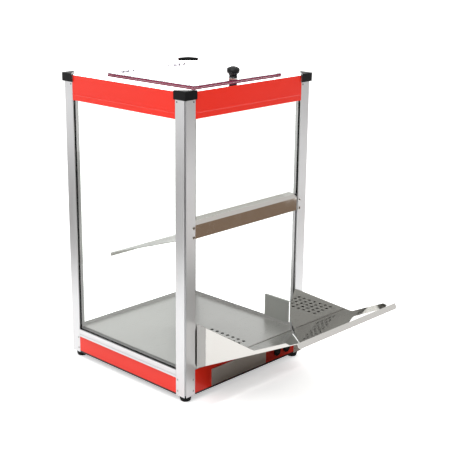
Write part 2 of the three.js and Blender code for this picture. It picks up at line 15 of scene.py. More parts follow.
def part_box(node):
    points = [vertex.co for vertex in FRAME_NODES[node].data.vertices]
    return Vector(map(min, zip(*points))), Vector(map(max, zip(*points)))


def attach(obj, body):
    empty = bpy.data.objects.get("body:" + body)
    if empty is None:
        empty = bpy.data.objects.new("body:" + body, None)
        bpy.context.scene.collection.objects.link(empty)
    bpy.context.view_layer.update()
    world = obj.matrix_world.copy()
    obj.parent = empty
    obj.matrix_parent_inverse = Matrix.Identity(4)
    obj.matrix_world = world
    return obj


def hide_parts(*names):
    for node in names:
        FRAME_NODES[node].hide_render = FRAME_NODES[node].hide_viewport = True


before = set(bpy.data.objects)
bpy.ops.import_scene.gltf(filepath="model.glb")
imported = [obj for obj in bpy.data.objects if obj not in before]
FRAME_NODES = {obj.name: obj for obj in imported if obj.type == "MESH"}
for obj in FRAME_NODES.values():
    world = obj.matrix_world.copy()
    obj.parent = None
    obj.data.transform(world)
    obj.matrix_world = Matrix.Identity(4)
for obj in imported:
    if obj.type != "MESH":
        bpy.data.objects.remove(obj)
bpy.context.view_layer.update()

# %% [markdown]
# Blender works in metres, and small sizes read better in millimetres, so one factor turns one into the
# other. A noise pattern takes a scale, which is how often it repeats in a metre, so it is worked out
# from the real size of the thing it draws. Every place below comes from the frame's own boxes, so a
# piece lands where the CAD says.

# %% Units and places
MM = 0.001
CORNERS = ("front_left", "front_right", "rear_right", "rear_left")


def scale_for(size_mm):
    return 1 / (size_mm * MM)


def low(node):
    return Vector(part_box(node)[0])


def high(node):
    return Vector(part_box(node)[1])


def middle(node):
    return (low(node) + high(node)) / 2


FRONT_Y = low("post_front_left").y
LEFT_X = low("post_front_left").x
print("cabinet front at y =", round(FRONT_Y, 4), "left side at x =", round(LEFT_X, 4))

# %% [markdown]
# The camera has a long lens and looks down a little at the near corner, from over two metres away. A
# long lens keeps the upright edges nearly parallel. It is placed by its position and aimed by two angles,
# and a small sideways shift of the lens frames the case without turning the camera.

# %% Camera
CAMERA_PLACE = (-1.6998, FRONT_Y - 1.5420, 1.0373)
CAMERA_AZIMUTH = math.radians(-44.36)
CAMERA_ELEVATION = math.radians(16.34)
LENS_LENGTH, SENSOR_WIDTH = 83.3, 36  # mm
LENS_SHIFT = 0.0895
camera_data = bpy.data.cameras.new("camera")
camera_data.lens = LENS_LENGTH
camera_data.sensor_width = SENSOR_WIDTH
camera_data.shift_x = LENS_SHIFT
camera = bpy.data.objects.new("camera", camera_data)
camera.location = CAMERA_PLACE
camera.rotation_euler = (math.pi / 2 - CAMERA_ELEVATION, 0, CAMERA_AZIMUTH)
bpy.context.collection.objects.link(camera)
bpy.context.scene.camera = camera
print("camera", [round(v, 3) for v in camera.location])

# %% [markdown]
# Colours are given as the sRGB hex values that a paint chart or a picture editor shows. Blender's shaders
# want linear light, so one function turns them.

# %% Colour
def colour(hex_value):
    channels = [(hex_value >> shift & 255) / 255 for shift in (16, 8, 0)]
    linear = [c / 12.92 if c <= 0.04045 else ((c + 0.055) / 1.055) ** 2.4 for c in channels]
    return (*linear, 1.0)


print("mid grey 0x808080 in linear light:", round(colour(0x808080)[0], 3))

# %% [markdown]
# Every material is a small tree of nodes. This one helper adds a node, sets its properties, and either
# fills an input with a value or links it to another node's output.

# %% Node helper
def node(tree, kind, inputs=None, **settings):
    made = tree.nodes.new(kind)
    for name, value in settings.items():
        setattr(made, name, value)
    for socket, value in (inputs or {}).items():
        if isinstance(value, bpy.types.NodeSocket):
            tree.links.new(value, made.inputs[socket])
        else:
            made.inputs[socket].default_value = value
    return made


def new_material(name):
    material = bpy.data.materials.new(name)
    material.use_nodes = True
    material.node_tree.nodes.clear()
    return material, material.node_tree


def show(tree, shader):
    node(tree, "ShaderNodeOutputMaterial", {"Surface": shader})


print("node helpers ready")

# %% [markdown]
# **Sky.** The light is that of a plain studio. A picture of a real room would put that room into every
# shiny face, so the world here is only a white that is dimmer towards the horizon, and upright metal
# shows a change of tone from top to bottom. Seen directly it is plain white, like a paper backdrop.

# %% Sky
HORIZON_LEVEL, ZENITH_LEVEL = 0.5, 1.05
HORIZON_RISE, ZENITH_RISE = 0.05, 0.6  # upward part of a direction where each level is reached
world = bpy.data.worlds.new("studio")
world.use_nodes = True
sky = world.node_tree
direction = node(sky, "ShaderNodeTexCoord")
height = node(sky, "ShaderNodeSeparateXYZ", {"Vector": direction.outputs["Generated"]})
lift = node(sky, "ShaderNodeMapRange", {
    "Value": height.outputs["Z"], "From Min": HORIZON_RISE, "From Max": ZENITH_RISE,
    "To Min": HORIZON_LEVEL, "To Max": ZENITH_LEVEL})
seen = node(sky, "ShaderNodeLightPath")
backdrop = node(sky, "ShaderNodeMath", {0: lift.outputs["Result"], 1: seen.outputs["Is Camera Ray"]},
                operation="MAXIMUM")
background = sky.nodes["Background"]
background.inputs["Color"].default_value = (1, 1, 1, 1)
sky.links.new(backdrop.outputs[0], background.inputs["Strength"])
bpy.context.scene.world = world
bpy.context.scene.view_settings.view_transform = "Standard"
print("sky goes from", HORIZON_LEVEL, "to", ZENITH_LEVEL)

# %% [markdown]
# **Floor.** A wide, pale, dull sheet. It glows a little, as a light table does, which lifts the shadows.
# A flat card is four points and one face, so one helper makes the floor and every card after it.

# %% Floor
FLOOR_WIDTH = 60  # metres, wide enough to run past every view
FLOOR_GLOW = 0.5
ROUGHNESS_SPREAD = 0.03
SPECKLE_SIZE = 167  # mm


def plain_surface(name, hex_value, roughness, glow=0.0):
    material, tree = new_material(name)
    speckle = node(tree, "ShaderNodeTexNoise", {"Scale": scale_for(SPECKLE_SIZE), "Detail": 2.0})
    tone = node(tree, "ShaderNodeMapRange", {"Value": speckle.outputs["Fac"],
                                             "To Min": roughness - ROUGHNESS_SPREAD,
                                             "To Max": roughness + ROUGHNESS_SPREAD})
    shader = node(tree, "ShaderNodeBsdfPrincipled", {
        "Base Color": colour(hex_value), "Roughness": tone.outputs["Result"],
        "Emission Color": colour(hex_value), "Emission Strength": glow})
    show(tree, shader.outputs["BSDF"])
    return material


def stage_card(name, width, depth, material, at, turn=(0, 0, 0)):
    mesh = bpy.data.meshes.new(name)
    x, y = width / 2, depth / 2
    mesh.from_pydata([(-x, -y, 0), (x, -y, 0), (x, y, 0), (-x, y, 0)], [], [(0, 1, 2, 3)])
    mesh.materials.append(material)
    card = bpy.data.objects.new(name, mesh)
    card.location = at
    card.rotation_euler = turn
    bpy.context.collection.objects.link(card)
    return card


pale_table = plain_surface("pale_lit_table", 0xFFFFFF, 0.9, FLOOR_GLOW)
stage_card("studio_floor", FLOOR_WIDTH, FLOOR_WIDTH, pale_table, (0, 0, 0))
print("floor,", FLOOR_WIDTH, "metres wide")

# %% [markdown]
# **Cards to mirror.** Polished steel has no tone of its own: it shows the room, and in an empty white
# room it looks like white paint. Four cards just above the floor give it a room: a brown one out in
# front, a dim one in the door's shade, a grey one to the left and a dark one below the camera. They are
# solid from above only, and the camera doesn't see them, so the floor under them stays lit and white.

# %% Cards on the floor
def solid_from_above(card):
    tree = card.data.materials[0].node_tree
    above = tree.nodes["Principled BSDF"].outputs["BSDF"]
    side = node(tree, "ShaderNodeNewGeometry")
    below = node(tree, "ShaderNodeBsdfTransparent")
    mixed = node(tree, "ShaderNodeMixShader", {0: side.outputs["Backfacing"], 1: above,
                                               2: below.outputs["BSDF"]})
    tree.links.new(mixed.outputs["Shader"], tree.nodes["Material Output"].inputs["Surface"])
    card.visible_camera = False


CARD_LIFT = 2 * MM
# name, finish, colour, width and depth, place from the cabinet's front, turn in degrees
FLOOR_CARDS = (
    ("brown_card", "brown_room_card", 0x86705C, (0.93, 0.46), (0.89, -0.94), 0),
    ("shade_card", "dim_shade_card", 0x9A8D80, (0.505, 0.21), (0.148, -0.112), 0),
    ("side_card", "grey_side_card", 0x86827E, (1.7, 1.6), (-1.5, 1.45), 0),
    ("corner_card", "dark_corner_card", 0x2B2724, (1.5, 1.5), (-1.35, -1.2), 45),
)
for name, finish, hex_value, (width, depth), (x, y), degrees in FLOOR_CARDS:
    card = stage_card(name, width, depth, plain_surface(finish, hex_value, 0.85),
                      (x, FRONT_Y + y, CARD_LIFT), (0, 0, math.radians(degrees)))
    solid_from_above(card)
print(len(FLOOR_CARDS), "cards on the floor")

# %% [markdown]
# **Flags.** In a studio a flag is an upright board that keeps light off one place. Two small black ones
# shade the red paint near the ground and show in nothing. A long brown one stands far in front: it casts
# no shadow, and only shows in the metal, as the far side of the room.

# %% Flags
UPRIGHT = math.pi / 2
black_board = plain_surface("black_flag_card", 0x0A0A0A, 0.9)
brown_board = plain_surface("brown_flag", 0x55473B, 0.9)
base_flag = stage_card("base_flag", 0.36, 0.062, black_board, (-0.02, FRONT_Y - 0.05, 0.045),
                       (UPRIGHT, 0, 0))
left_flag = stage_card("left_flag", 0.34, 0.022, black_board, (LEFT_X - 0.05, FRONT_Y + 0.2, 0.05),
                       (UPRIGHT, 0, UPRIGHT))
for card in (base_flag, left_flag):
    card.visible_camera = False
    card.visible_glossy = False
    card.visible_transmission = False
front_flag = stage_card("front_flag", 4.2, 0.55, brown_board, (0.9, FRONT_Y - 2.2, 0.29),
                        (UPRIGHT, 0, 0))
front_flag.visible_camera = False
front_flag.visible_shadow = False
print("3 flags round the case")

# %% [markdown]
# **Lamps.** A broad lamp on the left makes the left sides the brightest, and one above fills in. The
# other two use light linking, which lets a lamp light only chosen pieces: one behind gives the roof and
# the lid their shine, and one in front makes the door's lip shine.

# %% Lamps
def soft_lamp(name, at, aim, size, power):
    data = bpy.data.lights.new(name, "AREA")
    data.shape = "RECTANGLE"
    data.size, data.size_y = size
    data.energy = power
    lamp = bpy.data.objects.new(name, data)
    lamp.location = at
    lamp.rotation_euler = (Vector(aim) - Vector(at)).to_track_quat("-Z", "Y").to_euler()
    bpy.context.collection.objects.link(lamp)
    return lamp


def light_only(lamp, group_name, pieces):
    lamp.visible_diffuse = False
    lamp.visible_camera = False
    group = bpy.data.collections.new(group_name)
    for piece in pieces:
        group.objects.link(FRAME_NODES[piece])
    lamp.light_linking.receiver_collection = group
    return group


HINGE_LEAVES = [name for name in FRAME_NODES if name.startswith("lid_hinge_")]
soft_lamp("key_left", (-1.3, -0.5, 2.1), (0, 0.1, 0.45), (1.4, 1.4), 14)
soft_lamp("top", (0.2, 0.3, 3.0), (0, 0.1, 0.6), (2.0, 2.0), 10)
back_lamp = soft_lamp("back_panel", (1.9, 1.9, 1.35), (0, 0.1, 0.75), (5.0, 1.9), 95)
lip_lamp = soft_lamp("lip_panel", (1.48, FRONT_Y - 1.86, 1.05), (0, FRONT_Y - 0.4, 0.2), (2.6, 1.0), 4)
lit_by_back_lamp = light_only(back_lamp, "lit_by_back_panel", ["roof_panel", *HINGE_LEAVES])
light_only(lip_lamp, "lit_by_lip_panel", ["serving_door"])
print("4 lamps, 2 of them linked to chosen pieces")

# %% [markdown]
# **Brushed aluminium.** The posts and rails are extruded, then brushed along their length and anodised.
# Brushing leaves hair lines 0.1 mm apart; they are drawn about 1 mm apart here, because finer ones
# vanish at this distance. They stretch the highlight across the grain and vary the gloss a little.
# The same recipe with other values gives satin stainless sheet.

# %% Brushed metal
GRAIN_LENGTH = 90  # mm that one hair line runs before it fades
GRAIN_SPACING = 0.9  # mm between hair lines, coarser than the real 0.1
HANDLING_PATCH = 71.4  # mm across a patch dulled by hands
HAIR_GLOSS_SPREAD = 0.07
DIM_SHARE = 0.86  # how bright the darker hair lines are beside the brighter


def brushed_metal(name, hex_value, roughness, along, relief=0.05):
    material, tree = new_material(name)
    coords = node(tree, "ShaderNodeTexCoord")
    grain = [scale_for(GRAIN_SPACING)] * 3
    grain["XYZ".index(along)] = scale_for(GRAIN_LENGTH)
    stretch = node(tree, "ShaderNodeMapping", {"Vector": coords.outputs["Object"], "Scale": grain})
    hair = node(tree, "ShaderNodeTexNoise", {"Vector": stretch.outputs["Vector"], "Scale": 1.0,
                                             "Detail": 3.0, "Roughness": 0.6})
    handling = node(tree, "ShaderNodeTexNoise", {"Vector": coords.outputs["Object"],
                                                 "Scale": scale_for(HANDLING_PATCH), "Detail": 4.0})
    gloss = node(tree, "ShaderNodeMapRange", {"Value": hair.outputs["Fac"], "From Min": 0.3,
                                              "From Max": 0.7, "To Min": roughness - HAIR_GLOSS_SPREAD,
                                              "To Max": roughness + HAIR_GLOSS_SPREAD})
    worn = node(tree, "ShaderNodeMath", {0: handling.outputs["Fac"], 1: 0.08, 2: gloss.outputs["Result"]},
                operation="MULTIPLY_ADD")
    bright = colour(hex_value)
    dim = tuple(DIM_SHARE * c for c in bright[:3]) + (1.0,)
    tone = node(tree, "ShaderNodeMix", {0: hair.outputs["Fac"], 6: dim, 7: bright}, data_type="RGBA")
    lines = node(tree, "ShaderNodeBump", {"Height": hair.outputs["Fac"], "Strength": relief,
                                          "Distance": 0.3 * MM})
    shader = node(tree, "ShaderNodeBsdfPrincipled", {
        "Base Color": tone.outputs[2], "Metallic": 1.0, "Roughness": worn.outputs[0],
        "Anisotropic": 0.5, "Normal": lines.outputs["Normal"]})
    show(tree, shader.outputs["BSDF"])
    return material


aluminium_upright = brushed_metal("brushed_aluminium_upright", 0xCFCFD0, 0.33, "Z")
aluminium_rail_x = brushed_metal("brushed_aluminium_rail_x", 0xCFCFD0, 0.33, "X")
aluminium_rail_y = brushed_metal("brushed_aluminium_rail_y", 0xCFCFD0, 0.33, "Y")
satin_steel = brushed_metal("satin_stainless", 0xCFCECC, 0.30, "X", 0.04)
satin_steel_y = brushed_metal("satin_stainless_y", 0xCFCECA, 0.30, "Y", 0.04)
satin_steel_up = brushed_metal("satin_stainless_upright", 0xC2C3BF, 0.34, "Z", 0.04)
print("brushed metals ready")

# %% [markdown]
# **Polished stainless.** The door, the bar and the roof are bright-annealed sheet, nearly a mirror. What
# tells the eye that it is thin sheet and not glass is that it is never quite flat: long shallow waves
# bend what it mirrors. Cloths leave faint smears that dull it in patches.

# %% Polished steel
SHEET_WAVE = 111  # mm from one shallow wave of the sheet to the next
WAVE_DEPTH = 4 * MM
CLOTH_SMEAR = 38.5  # mm across a smear


def polished_steel(name, hex_value, roughness, wave=0.05):
    material, tree = new_material(name)
    coords = node(tree, "ShaderNodeTexCoord")
    waves = node(tree, "ShaderNodeTexNoise", {"Vector": coords.outputs["Object"],
                                              "Scale": scale_for(SHEET_WAVE), "Detail": 1.0})
    smears = node(tree, "ShaderNodeTexNoise", {"Vector": coords.outputs["Object"], "Detail": 5.0,
                                               "Scale": scale_for(CLOTH_SMEAR), "Distortion": 1.2})
    gloss = node(tree, "ShaderNodeMapRange", {"Value": smears.outputs["Fac"], "From Min": 0.4,
                                              "From Max": 0.75, "To Min": roughness,
                                              "To Max": roughness + 0.04})
    buckle = node(tree, "ShaderNodeBump", {"Height": waves.outputs["Fac"], "Strength": wave,
                                           "Distance": WAVE_DEPTH})
    shader = node(tree, "ShaderNodeBsdfPrincipled", {
        "Base Color": colour(hex_value), "Metallic": 1.0, "Roughness": gloss.outputs["Result"],
        "Normal": buckle.outputs["Normal"]})
    show(tree, shader.outputs["BSDF"])
    return material


polished_door = polished_steel("polished_stainless_door", 0xBDBBB7, 0.02, 0.004)
polished_bar = polished_steel("polished_stainless_bar", 0xCFCBC6, 0.05)
polished_roof = polished_steel("polished_stainless_roof", 0xE2E1DF, 0.02, 0.002)
print("polished steels ready")

# %% [markdown]
# **Red enamel.** The header and skirts are sheet steel, sprayed and baked. Sprayed paint dries with a
# fine dimpled skin, called orange peel, with dimples about 2 mm across, under a clear glossy surface.

# %% Red enamel
ORANGE_PEEL = 2.2  # mm across a dimple
COAT_PATCH = 143  # mm from a thicker to a thinner part of the coat


def enamel(name, hex_value, roughness=0.32):
    material, tree = new_material(name)
    coords = node(tree, "ShaderNodeTexCoord")
    dimples = node(tree, "ShaderNodeTexNoise", {"Vector": coords.outputs["Object"],
                                                "Scale": scale_for(ORANGE_PEEL), "Detail": 1.0})
    depth = node(tree, "ShaderNodeTexNoise", {"Vector": coords.outputs["Object"],
                                              "Scale": scale_for(COAT_PATCH), "Detail": 3.0})
    deep = colour(hex_value)
    thin = tuple(min(1.0, 1.08 * c) for c in deep[:3]) + (1.0,)
    tone = node(tree, "ShaderNodeMix", {0: depth.outputs["Fac"], 6: deep, 7: thin}, data_type="RGBA")
    peel = node(tree, "ShaderNodeBump", {"Height": dimples.outputs["Fac"], "Strength": 0.05,
                                         "Distance": 0.2 * MM})
    shader = node(tree, "ShaderNodeBsdfPrincipled", {
        "Base Color": tone.outputs[2], "Roughness": roughness, "IOR": 1.5, "Specular IOR Level": 0.26,
        "Coat Weight": 0.1, "Coat Roughness": 0.1, "Normal": peel.outputs["Normal"]})
    show(tree, shader.outputs["BSDF"])
    return material


red_enamel = enamel("red_baked_enamel", 0xE0230C)
black_enamel = enamel("black_baked_enamel", 0x141314)
print("enamels ready")

# %% [markdown]
# **Moulded plastic and rubber.** The caps, knob and switches are moulded ABS: the steel mould is lightly
# blasted, so the skin has a grain finer than 0.5 mm, drawn at 0.8 mm. The feet and gaskets are rubber,
# duller, with a dry bloom.

# %% Plastic and rubber
BLOOM_PATCH = 16.7  # mm across a duller patch of the skin
BLOOM_SPREAD = 0.08


def moulded(name, hex_value, roughness, grain_mm, relief, specular=0.3):
    material, tree = new_material(name)
    coords = node(tree, "ShaderNodeTexCoord")
    grain = node(tree, "ShaderNodeTexNoise", {"Vector": coords.outputs["Object"],
                                              "Scale": scale_for(grain_mm), "Detail": 2.0})
    bloom = node(tree, "ShaderNodeTexNoise", {"Vector": coords.outputs["Object"],
                                              "Scale": scale_for(BLOOM_PATCH), "Detail": 4.0})
    gloss = node(tree, "ShaderNodeMapRange", {"Value": bloom.outputs["Fac"],
                                              "To Min": roughness - BLOOM_SPREAD,
                                              "To Max": roughness + BLOOM_SPREAD})
    dark = colour(hex_value)
    light = tuple(1.5 * c for c in dark[:3]) + (1.0,)
    tone = node(tree, "ShaderNodeMix", {0: bloom.outputs["Fac"], 6: dark, 7: light}, data_type="RGBA")
    skin = node(tree, "ShaderNodeBump", {"Height": grain.outputs["Fac"], "Strength": relief,
                                         "Distance": 0.15 * MM})
    shader = node(tree, "ShaderNodeBsdfPrincipled", {
        "Base Color": tone.outputs[2], "Roughness": gloss.outputs["Result"], "IOR": 1.5,
        "Specular IOR Level": specular, "Normal": skin.outputs["Normal"]})
    show(tree, shader.outputs["BSDF"])
    return material


black_abs = moulded("black_moulded_abs", 0x0A0A0B, 0.3, 0.8, 0.15, 0.12)
glossy_abs = moulded("black_polished_abs", 0x0A0A0B, 0.16, 0.8, 0.04)
black_rubber = moulded("black_rubber", 0x0C0C0D, 0.7, 0.6, 0.3, 0.12)
print("plastics and rubber ready")

# %% [markdown]
# **Clear sheet.** A pane shows what is behind it and mirrors a little of what is in front, more at a
# glancing angle. A mix of see-through and mirror, weighed by Fresnel, does that and lets the lamps shine
# in, which bending glass would not. The faint grey-green body is what tempered glass has.

# %% Clear sheet
WIPED_PATCH = 111  # mm across a patch where a cloth has left a film


def clear_sheet(name, body_hex, ior=1.5):
    material, tree = new_material(name)
    coords = node(tree, "ShaderNodeTexCoord")
    smears = node(tree, "ShaderNodeTexNoise", {"Vector": coords.outputs["Object"],
                                               "Scale": scale_for(WIPED_PATCH), "Detail": 4.0})
    gloss = node(tree, "ShaderNodeMapRange", {"Value": smears.outputs["Fac"], "From Min": 0.4,
                                              "To Min": 0.0, "To Max": 0.05})
    through = node(tree, "ShaderNodeBsdfTransparent", {"Color": colour(body_hex)})
    mirror = node(tree, "ShaderNodeBsdfGlossy", {"Color": (1, 1, 1, 1),
                                                 "Roughness": gloss.outputs["Result"]})
    edge_on = node(tree, "ShaderNodeFresnel", {"IOR": ior})
    side = node(tree, "ShaderNodeNewGeometry")
    outer = node(tree, "ShaderNodeMath", {0: 1.0, 1: side.outputs["Backfacing"]}, operation="SUBTRACT")
    share = node(tree, "ShaderNodeMath", {0: edge_on.outputs["Fac"], 1: outer.outputs[0]},
                 operation="MULTIPLY")
    pane = node(tree, "ShaderNodeMixShader", {0: share.outputs[0], 1: through.outputs["BSDF"],
                                              2: mirror.outputs["BSDF"]})
    show(tree, pane.outputs["Shader"])
    return material


wall_glass = clear_sheet("tempered_clear_glass", 0xFEFFFE)
lid_acrylic = clear_sheet("clear_cast_acrylic", 0xFAF9FB)
print("clear sheets ready")

# %% [markdown]
# **Lamp and element.** The warming lamp is a tube frosted inside, so it looks milky until it is lit. The
# element under the floor is a steel sheath round a heating wire. Heat has turned it a dull brown grey,
# uneven along its length.

# %% Lamp and heater
def blotched(name, hex_value, other_hex, metallic, roughness, patch_mm):
    material, tree = new_material(name)
    coords = node(tree, "ShaderNodeTexCoord")
    patches = node(tree, "ShaderNodeTexNoise", {"Vector": coords.outputs["Object"],
                                                "Scale": scale_for(patch_mm), "Detail": 4.0})
    tone = node(tree, "ShaderNodeMix", {0: patches.outputs["Fac"], 6: colour(hex_value),
                                        7: colour(other_hex)}, data_type="RGBA")
    gloss = node(tree, "ShaderNodeMapRange", {"Value": patches.outputs["Fac"], "To Min": roughness - 0.1,
                                              "To Max": roughness + 0.1})
    shader = node(tree, "ShaderNodeBsdfPrincipled", {"Base Color": tone.outputs[2], "Metallic": metallic,
                                                     "Roughness": gloss.outputs["Result"]})
    show(tree, shader.outputs["BSDF"])
    return material


frosted_lamp = blotched("frosted_lamp_glass", 0xF1EEE6, 0xE4E1D8, 0.0, 0.4, 30)
heat_stained = blotched("heat_stained_steel_sheath", 0x6A5F55, 0x49423D, 1.0, 0.5, 12)
print("lamp and heater finishes ready")

# %% [markdown]
# Each frame node gets the finish of its real part, picked by the longest name start that fits it. Rails
# and sheets are brushed along their own length, so they have one finish for each direction.

# %% Finishes on the frame
FINISH = {
    "post_": aluminium_upright, "header_": red_enamel, "skirt_": red_enamel, "clear_panel": wall_glass,
    "glazing_gasket": black_rubber, "roof_panel": polished_roof, "lid_panel": lid_acrylic,
    "middle_bar": polished_bar, "food_baffle": satin_steel, "perforated_floor": satin_steel,
    "cable_cover": satin_steel_up, "serving_door": polished_door, "door_hinge": satin_steel,
    "lid_hinge": lid_acrylic, "base_pan": black_enamel, "crumb_drawer": satin_steel,
    "drawer_guide": satin_steel, "lower_rail_left": aluminium_rail_y, "lower_rail_right": aluminium_rail_y,
    "lower_rail_rear": aluminium_rail_x, "foot_": black_rubber, "post_cap": black_abs,
    "lid_knob": glossy_abs, "lamp_bracket": black_abs, "heater_stand": satin_steel_y,
    "thermostat": black_abs, "power_inlet": black_abs, "heat_switch": black_abs,
    "light_switch": black_abs, "lamp_tube": frosted_lamp, "heating_element": heat_stained,
}


def finish_of(name):
    fitting = [start for start in FINISH if name.startswith(start)]
    return FINISH[max(fitting, key=len)]


for name, cad_object in FRAME_NODES.items():
    cad_object.data.materials.clear()
    cad_object.data.materials.append(finish_of(name))
print(len(FRAME_NODES), "frame nodes have their finish")

# %% [markdown]
# Small round parts are turned or moulded, so each is one outline spun about its axis. The outline is a
# list of radius and height in millimetres. Stretches between its points are straight, so a rounded
# stretch is given by an arc helper. A screw modifier could spin it too, but spinning in code keeps the
# mesh even and closed, and gives the exact diameter.

# %% Turned outlines
ON_AXIS = 1e-6  # mm; an outline point this close to the axis becomes one point


def arc(centre, radius, start, end, steps=6):
    turn = [math.radians(start + (end - start) * i / steps) for i in range(steps + 1)]
    return [(centre[0] + radius * math.cos(t), centre[1] + radius * math.sin(t)) for t in turn]


def spin(profile, around=40):
    rings, faces, points = [], [], []
    for radius, height in profile:
        if radius < ON_AXIS:
            rings.append([len(points)] * around)
            points.append((0, 0, height * MM))
        else:
            rings.append([len(points) + i for i in range(around)])
            angles = [2 * math.pi * i / around for i in range(around)]
            points += [(radius * MM * math.cos(a), radius * MM * math.sin(a), height * MM) for a in angles]
    for lower, upper in zip(rings, rings[1:]):
        for i in range(around):
            j = (i + 1) % around
            corners = [lower[i], lower[j], upper[j], upper[i]]
            faces.append(list(dict.fromkeys(corners)))
    return points, [face for face in faces if len(face) > 2]


disc_points, disc_faces = spin([(0, 0), (5, 0)])
print("a disc has", len(disc_points), "points and", len(disc_faces), "faces")

# %% [markdown]
# A group of alike small parts, such as the two screws at one end of the bar, is one object made of
# separate closed shells. One helper joins the shells, gives them their finish, keeps edges over a given
# angle sharp, and lets the object ride on its body. Another turns a shell to face a direction.

# %% Place a piece on its body
def place(name, shapes, material, body, smooth_angle=35):
    mesh = bpy.data.meshes.new(name)
    points, faces = [], []
    for shape_points, shape_faces, matrix in shapes:
        start = len(points)
        points += [matrix @ Vector(p) for p in shape_points]
        faces += [[start + i for i in face] for face in shape_faces]
    mesh.from_pydata(points, [], faces)
    mesh.materials.append(material)
    mesh.shade_smooth()
    mesh.set_sharp_from_angle(angle=math.radians(smooth_angle))
    made = bpy.data.objects.new(name, mesh)
    bpy.context.collection.objects.link(made)
    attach(made, body)
    return made


def facing(direction, at):
    return Matrix.Translation(at) @ Vector(direction).to_track_quat("Z", "Y").to_matrix().to_4x4()


print("place and facing helpers ready")

# %% [markdown]
# The lid's knob is a moulded ball on a narrow neck that flares at its foot, over a bright turned
# ferrule. Each outline is drawn once and spun.

# %% Lid knob
knob_low, knob_high = low("lid_knob"), high("lid_knob")
knob_foot = Vector((middle("lid_knob").x, middle("lid_knob").y, knob_low.z))
KNOB_HEIGHT = (knob_high.z - knob_low.z) / MM
HEAD_RADIUS, HEAD_RISE = 14.9, 10.2  # half the ball's width and half its height, mm
head = [(HEAD_RADIUS * math.cos(t), KNOB_HEIGHT + HEAD_RISE * (math.sin(t) - 1))
        for t in (math.radians(degrees) for degrees in range(-50, 90, 10))]
knob_profile = [(0, 2.6), (9.9, 2.6), (9.4, 3.6), (8.9, 5.6), (9.1, 7.4)] + head + [(0, KNOB_HEIGHT)]
knob = place("ball_knob", [(*spin(knob_profile, 48), Matrix.Translation(knob_foot))],
             glossy_abs, "lid", 40)
ferrule_profile = [(0, 0), (9.6, 0), (9.6, 1.8), (9.0, 2.4), (0, 2.4)]
ferrule = place("knob_ferrule", [(*spin(ferrule_profile, 48), Matrix.Translation(knob_foot))],
                polished_bar, "lid", 40)
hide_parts("lid_knob")
print("knob height, mm:", round(KNOB_HEIGHT, 1))

# %% [markdown]
# ** Lid edges.** The lid is cast acrylic with flame-polished edges. Light that enters the plate is
# trapped between its faces and leaves at the edges, so these look much darker than the plate: violet at
# the top corner and rosy below. Real trapped light needs many bounces and stays noisy, so that light is
# painted instead: the edges have opaque finishes of their own, whose violet, rose and pale colours and
# scattered glints are painted light.

# %% Lid edge finishes, in painted light
# the paler patches along the edges are painted glints
PAINTED_GLINT_PATCH = 33.3  # mm along an edge from one glint to the next


def painted_light_edge(name, hex_value, roughness):
    material, tree = new_material(name)
    coords = node(tree, "ShaderNodeTexCoord")
    glint = node(tree, "ShaderNodeTexNoise", {"Vector": coords.outputs["Object"],
                                              "Scale": scale_for(PAINTED_GLINT_PATCH)})
    deep = colour(hex_value)
    pale = tuple(min(1.0, 1.25 * c) for c in deep[:3]) + (1.0,)
    tone = node(tree, "ShaderNodeMix", {0: glint.outputs["Fac"], 6: deep, 7: pale}, data_type="RGBA")
    shader = node(tree, "ShaderNodeBsdfPrincipled", {"Base Color": tone.outputs[2], "IOR": 1.49,
                                                     "Roughness": roughness, "Specular IOR Level": 0.1})
    show(tree, shader.outputs["BSDF"])
    return material


# violet, rose and pale painted light for the lid's edges
edge_violet = painted_light_edge("acrylic_edge_painted_violet_light", 0x24162E, 0.12)
edge_rose = painted_light_edge("acrylic_edge_painted_rose_light", 0x8E2C4C, 0.15)
edge_pale = painted_light_edge("acrylic_edge_painted_pale_light", 0xEBC3CC, 0.15)
print("3 edge finishes ready")

# %% [markdown]
# **Lid plate.** A flat plate with round corners and slightly eased edges. It is built as four stacked
# outlines, each a little further in or out, which is simpler to keep closed than a bevelled box. It
# joins the pieces that the lamp behind lights.

# %% Lid plate
lid_low, lid_high = low("lid_panel"), high("lid_panel")
EASE = 0.5 * MM
CORNER_ROUND = 4 * MM
CORNER_STEPS = 4


def rounded_outline(inset):
    radius = CORNER_ROUND - inset
    points = []
    for quarter, (x, y) in enumerate(((lid_high.x, lid_high.y), (lid_low.x, lid_high.y),
                                      (lid_low.x, lid_low.y), (lid_high.x, lid_low.y))):
        centre_x = x - math.copysign(CORNER_ROUND, x - middle("lid_panel").x)
        centre_y = y - math.copysign(CORNER_ROUND, y - middle("lid_panel").y)
        for step in range(CORNER_STEPS + 1):
            turn = math.radians(90 * (quarter + step / CORNER_STEPS))
            points.append((centre_x + radius * math.cos(turn), centre_y + radius * math.sin(turn)))
    return points


def bands(levels, closed):
    points = [(x, y, z) for z, inset in levels for x, y in rounded_outline(inset)]
    count = len(points) // len(levels)
    faces = []
    for level in range(len(levels) if closed else len(levels) - 1):
        after = (level + 1) % len(levels)
        for i in range(count):
            j = (i + 1) % count
            faces.append([level * count + i, level * count + j, after * count + j, after * count + i])
    return points, faces, count


plate_levels = [(lid_low.z, EASE), (lid_low.z + EASE, 0.0), (lid_high.z - 1.4 * EASE, 0.0),
                (lid_high.z, EASE)]
lid_points, plate_sides, count = bands(plate_levels, closed=False)
underside = list(range(count - 1, -1, -1))
topside = list(range(len(lid_points) - count, len(lid_points)))
plate_faces = [underside, topside] + plate_sides
lid = place("acrylic_lid", [(lid_points, plate_faces, Matrix.Identity(4))], lid_acrylic, "lid", 20)
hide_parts("lid_panel")
lit_by_back_lamp.objects.link(lid)
print("lid, mm:", [round(v / MM, 1) for v in lid_high - lid_low])
